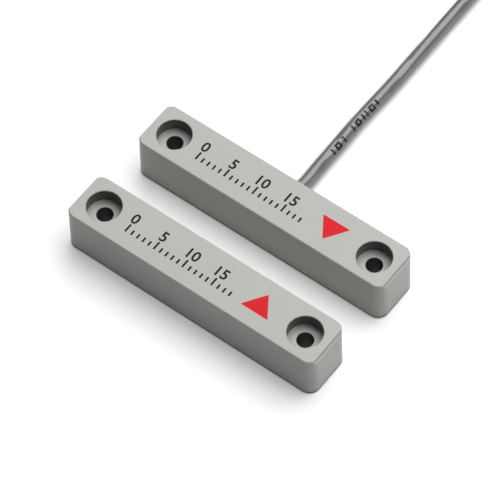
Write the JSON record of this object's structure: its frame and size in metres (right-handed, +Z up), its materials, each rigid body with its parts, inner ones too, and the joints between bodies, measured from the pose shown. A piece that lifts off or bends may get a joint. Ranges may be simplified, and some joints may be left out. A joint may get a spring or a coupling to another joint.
{
  "type": "surface mount magnetic contact",
  "caption": "Slim grey moulded switch housing with a cable, and a matching magnet housing beside it, both screwed down through counterbored end holes.",
  "frame": {"origin": "midway between the switch half's two screw holes, on its underside", "axes": "+X along the halves, +Y out of the cable side, +Z up from the mounting surface"},
  "size_m": [0.1022, 0.191, 0.0159],
  "materials": {
    "housing_plastic": "fine satin moulding, light warm grey",
    "potting": "poured compound, smooth and slightly glossy",
    "board": "glass-epoxy board with green resist",
    "can_metal": "nickel-plated drawn can",
    "seal_glass": "fused glass bead",
    "contact_metal": "gold-plated contact metal",
    "ring_steel": "plain steel ring",
    "tinned_metal": "tinned copper and solder",
    "collar_metal": "crimped collar",
    "insulation_red": "wire insulation",
    "insulation_black": "wire insulation",
    "insulation_green": "wire insulation",
    "insulation_white": "wire insulation",
    "magnet_ferrite": "sintered magnet, dark grey",
    "cable_jacket": "soft grey jacket with a faint sheen",
    "tie_plastic": "black strap"
  },
  "bodies": {
    "contact": {"switch_housing": "housing_plastic", "switch_potting": "potting", "circuit_board": "board", "capsule_shell": "can_metal", "capsule_header": "can_metal", "glass_seal": "seal_glass", "centre_pin": "contact_metal", "bias_ring": "ring_steel", "shell_lead": "contact_metal", "solder_joints": "tinned_metal", "conductor_ends": "tinned_metal", "strain_collar": "collar_metal", "wire_red": "insulation_red", "wire_black": "insulation_black", "wire_green": "insulation_green", "wire_white": "insulation_white", "magnet_housing": "housing_plastic", "bar_magnet": "magnet_ferrite", "magnet_potting": "potting", "cable_run": "cable_jacket", "cable_coil": "cable_jacket", "coil_tie": "tie_plastic", "cable_tail": "cable_jacket", "tail_red": "insulation_red", "tail_black": "insulation_black", "tail_green": "insulation_green", "tail_white": "insulation_white", "tail_tips": "tinned_metal"},
    "ball": {"switch_ball": "contact_metal"}
  },
  "joints": [
    {"name": "ball_slide", "type": "slide", "parent": "contact", "child": "ball", "axis": [0, -1, 0], "range_m": [0, 0.0008], "stiffness_N_per_m": 5}
  ]
}
